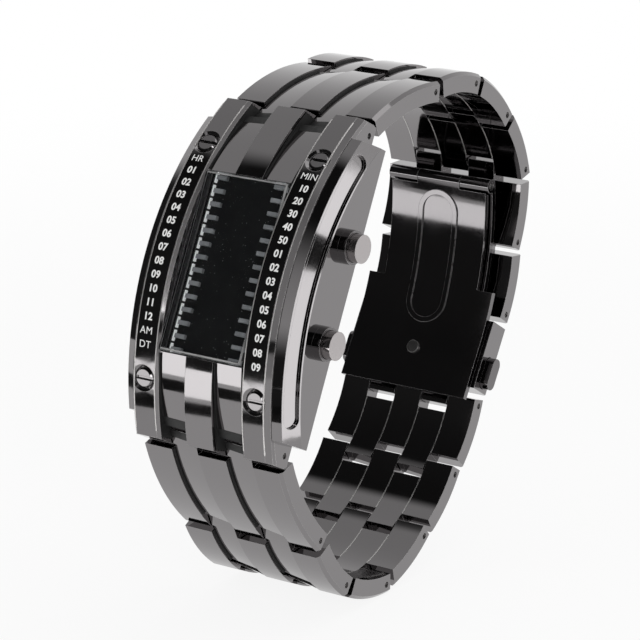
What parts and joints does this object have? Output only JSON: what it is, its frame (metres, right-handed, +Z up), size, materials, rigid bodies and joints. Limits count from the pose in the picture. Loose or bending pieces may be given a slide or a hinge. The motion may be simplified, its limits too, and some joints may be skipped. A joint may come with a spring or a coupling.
{
  "type": "bracelet watch",
  "caption": "Bracelet watch with an arched case, a binary light display between two number plates, side push buttons, stepped metal links and a folding clasp with side catches.",
  "frame": {"origin": "middle of the wrist opening, between the two flanks", "axes": "+X across the band toward the push buttons, +Z up as the watch leans back in the picture, +Y from the dial's side to the clasp's side"},
  "size_m": [0.0317, 0.0714, 0.0767],
  "materials": {
    "dark_chrome": "polished dark plating",
    "number_plate": "polished dark plating with printed numbers",
    "dark_trim": "polished dark plating",
    "crystal": "polished, bevelled edges",
    "gasket": "matte",
    "board": "matte black lacquer",
    "lights": "satin, unlit",
    "steel": "bare steel"
  },
  "bodies": {
    "case": {"case_body": "dark_chrome", "hour_plate": "number_plate", "minute_plate": "number_plate", "plate_screws": "dark_trim", "side_rail_left": "dark_chrome", "side_rail_right": "dark_chrome", "crystal": "crystal", "crystal_gasket": "gasket", "light_board": "board", "hour_lights": "lights", "minute_lights": "lights", "coin_cell": "steel", "cell_clip": "steel", "back_cover": "dark_chrome", "back_gasket": "gasket", "collar_upper": "dark_trim", "collar_lower": "dark_trim", "button_spring_upper": "steel", "button_spring_lower": "steel", "upper_pin_1": "steel", "lower_pin_1": "steel"},
    "button_upper": {"button_upper": "dark_chrome", "button_clip_upper": "steel"},
    "button_lower": {"button_lower": "dark_chrome", "button_clip_lower": "steel"},
    "upper_link_1": {"upper_link_1": "dark_chrome", "upper_pin_2": "steel"},
    "upper_link_2": {"upper_link_2": "dark_chrome", "upper_pin_3": "steel"},
    "upper_link_3": {"upper_link_3": "dark_chrome", "upper_pin_4": "steel"},
    "upper_link_4": {"upper_link_4": "dark_chrome", "upper_pin_5": "steel"},
    "upper_link_5": {"upper_link_5": "dark_chrome", "upper_pin_6": "steel"},
    "upper_link_6": {"upper_link_6": "dark_chrome", "upper_end_pin": "steel"},
    "lower_link_1": {"lower_link_1": "dark_chrome", "lower_pin_2": "steel"},
    "lower_link_2": {"lower_link_2": "dark_chrome", "lower_pin_3": "steel"},
    "lower_link_3": {"lower_link_3": "dark_chrome", "lower_pin_4": "steel"},
    "lower_link_4": {"lower_link_4": "dark_chrome", "lower_pin_5": "steel"},
    "lower_link_5": {"lower_link_5": "dark_chrome", "lower_pin_6": "steel"},
    "lower_link_6": {"lower_link_6": "dark_chrome", "lower_end_pin": "steel"},
    "clasp": {"clasp_cover": "dark_chrome", "clasp_blade": "dark_trim", "clasp_rivet": "steel", "clasp_spring": "steel", "leaf_pin": "steel"},
    "leaf": {"clasp_leaf": "dark_trim"},
    "catch_button_left": {"catch_button_left": "dark_trim"},
    "catch_button_right": {"catch_button_right": "dark_trim"}
  },
  "joints": [
    {"name": "upper_hinge_1", "type": "hinge", "parent": "case", "child": "upper_link_1", "pos_m": [0, -0.01049, 0.03172], "axis": [1, 0, 0], "range_deg": [0, 23.3]},
    {"name": "upper_hinge_2", "type": "hinge", "parent": "upper_link_1", "child": "upper_link_2", "pos_m": [0, 0.00724, 0.03479], "axis": [1, 0, 0], "range_deg": [0, 35.7]},
    {"name": "upper_hinge_3", "type": "hinge", "parent": "upper_link_2", "child": "upper_link_3", "pos_m": [0, 0.01861, 0.034], "axis": [1, 0, 0], "range_deg": [0, 40.6]},
    {"name": "upper_hinge_4", "type": "hinge", "parent": "upper_link_3", "child": "upper_link_4", "pos_m": [0, 0.0279, 0.02738], "axis": [1, 0, 0], "range_deg": [0, 24.5]},
    {"name": "upper_hinge_5", "type": "hinge", "parent": "upper_link_4", "child": "upper_link_5", "pos_m": [0, 0.03377, 0.01761], "axis": [1, 0, 0], "range_deg": [-14.8, 0]},
    {"name": "upper_hinge_6", "type": "hinge", "parent": "upper_link_5", "child": "upper_link_6", "pos_m": [0, 0.03179, 0.00638], "axis": [1, 0, 0], "range_deg": [-15.5, 0]},
    {"name": "lower_hinge_1", "type": "hinge", "parent": "case", "child": "lower_link_1", "pos_m": [0, -0.03183, -0.01016], "axis": [1, 0, 0], "range_deg": [0, 39.7]},
    {"name": "lower_hinge_2", "type": "hinge", "parent": "lower_link_1", "child": "lower_link_2", "pos_m": [0, -0.02278, -0.02572], "axis": [1, 0, 0], "range_deg": [0, 21.7]},
    {"name": "lower_hinge_3", "type": "hinge", "parent": "lower_link_2", "child": "lower_link_3", "pos_m": [0, -0.016, -0.03488], "axis": [1, 0, 0], "range_deg": [-9.3, 0]},
    {"name": "lower_hinge_4", "type": "hinge", "parent": "lower_link_3", "child": "lower_link_4", "pos_m": [0, -0.00516, -0.0384], "axis": [1, 0, 0], "range_deg": [-8.7, 0]},
    {"name": "lower_hinge_5", "type": "hinge", "parent": "lower_link_4", "child": "lower_link_5", "pos_m": [0, 0.00533, -0.03395], "axis": [1, 0, 0], "range_deg": [-10.7, 0]},
    {"name": "lower_hinge_6", "type": "hinge", "parent": "lower_link_5", "child": "lower_link_6", "pos_m": [0, 0.01407, -0.02662], "axis": [1, 0, 0], "range_deg": [-16.4, 0]},
    {"name": "clasp_hinge", "type": "hinge", "parent": "lower_link_6", "child": "clasp", "pos_m": [0, 0.02077, -0.0174], "axis": [1, 0, 0], "range_deg": [-27.2, 0]},
    {"name": "clasp_fold", "type": "hinge", "parent": "clasp", "child": "leaf", "pos_m": [0, 0.02854, 0.01558], "axis": [1, 0, 0], "range_deg": [0, 150]},
    {"name": "push_upper", "type": "slide", "parent": "case", "child": "button_upper", "axis": [-1, 0, 0], "range_m": [0, 0.0007], "stiffness_N_per_m": 800, "springref_m": -0.0005},
    {"name": "push_lower", "type": "slide", "parent": "case", "child": "button_lower", "axis": [-1, 0, 0], "range_m": [0, 0.0007], "stiffness_N_per_m": 800, "springref_m": -0.0005},
    {"name": "catch_left", "type": "slide", "parent": "clasp", "child": "catch_button_left", "axis": [1, 0, 0], "range_m": [0, 0.0008], "stiffness_N_per_m": 600, "springref_m": -0.0005},
    {"name": "catch_right", "type": "slide", "parent": "clasp", "child": "catch_button_right", "axis": [-1, 0, 0], "range_m": [0, 0.0008], "stiffness_N_per_m": 600, "springref_m": -0.0005}
  ],
  "couplings": [
    {"joint": "upper_hinge_1", "follows": "clasp_fold", "ratio": 0.1535},
    {"joint": "upper_hinge_2", "follows": "clasp_fold", "ratio": 0.236},
    {"joint": "upper_hinge_3", "follows": "clasp_fold", "ratio": 0.2684},
    {"joint": "upper_hinge_4", "follows": "clasp_fold", "ratio": 0.1611},
    {"joint": "upper_hinge_5", "follows": "clasp_fold", "ratio": -0.0965},
    {"joint": "upper_hinge_6", "follows": "clasp_fold", "ratio": -0.1015},
    {"joint": "lower_hinge_1", "follows": "clasp_fold", "ratio": 0.2624},
    {"joint": "lower_hinge_2", "follows": "clasp_fold", "ratio": 0.1428},
    {"joint": "lower_hinge_3", "follows": "clasp_fold", "ratio": -0.06},
    {"joint": "lower_hinge_4", "follows": "clasp_fold", "ratio": -0.056},
    {"joint": "lower_hinge_5", "follows": "clasp_fold", "ratio": -0.069},
    {"joint": "lower_hinge_6", "follows": "clasp_fold", "ratio": -0.1075},
    {"joint": "clasp_hinge", "follows": "clasp_fold", "ratio": -0.1795}
  ]
}
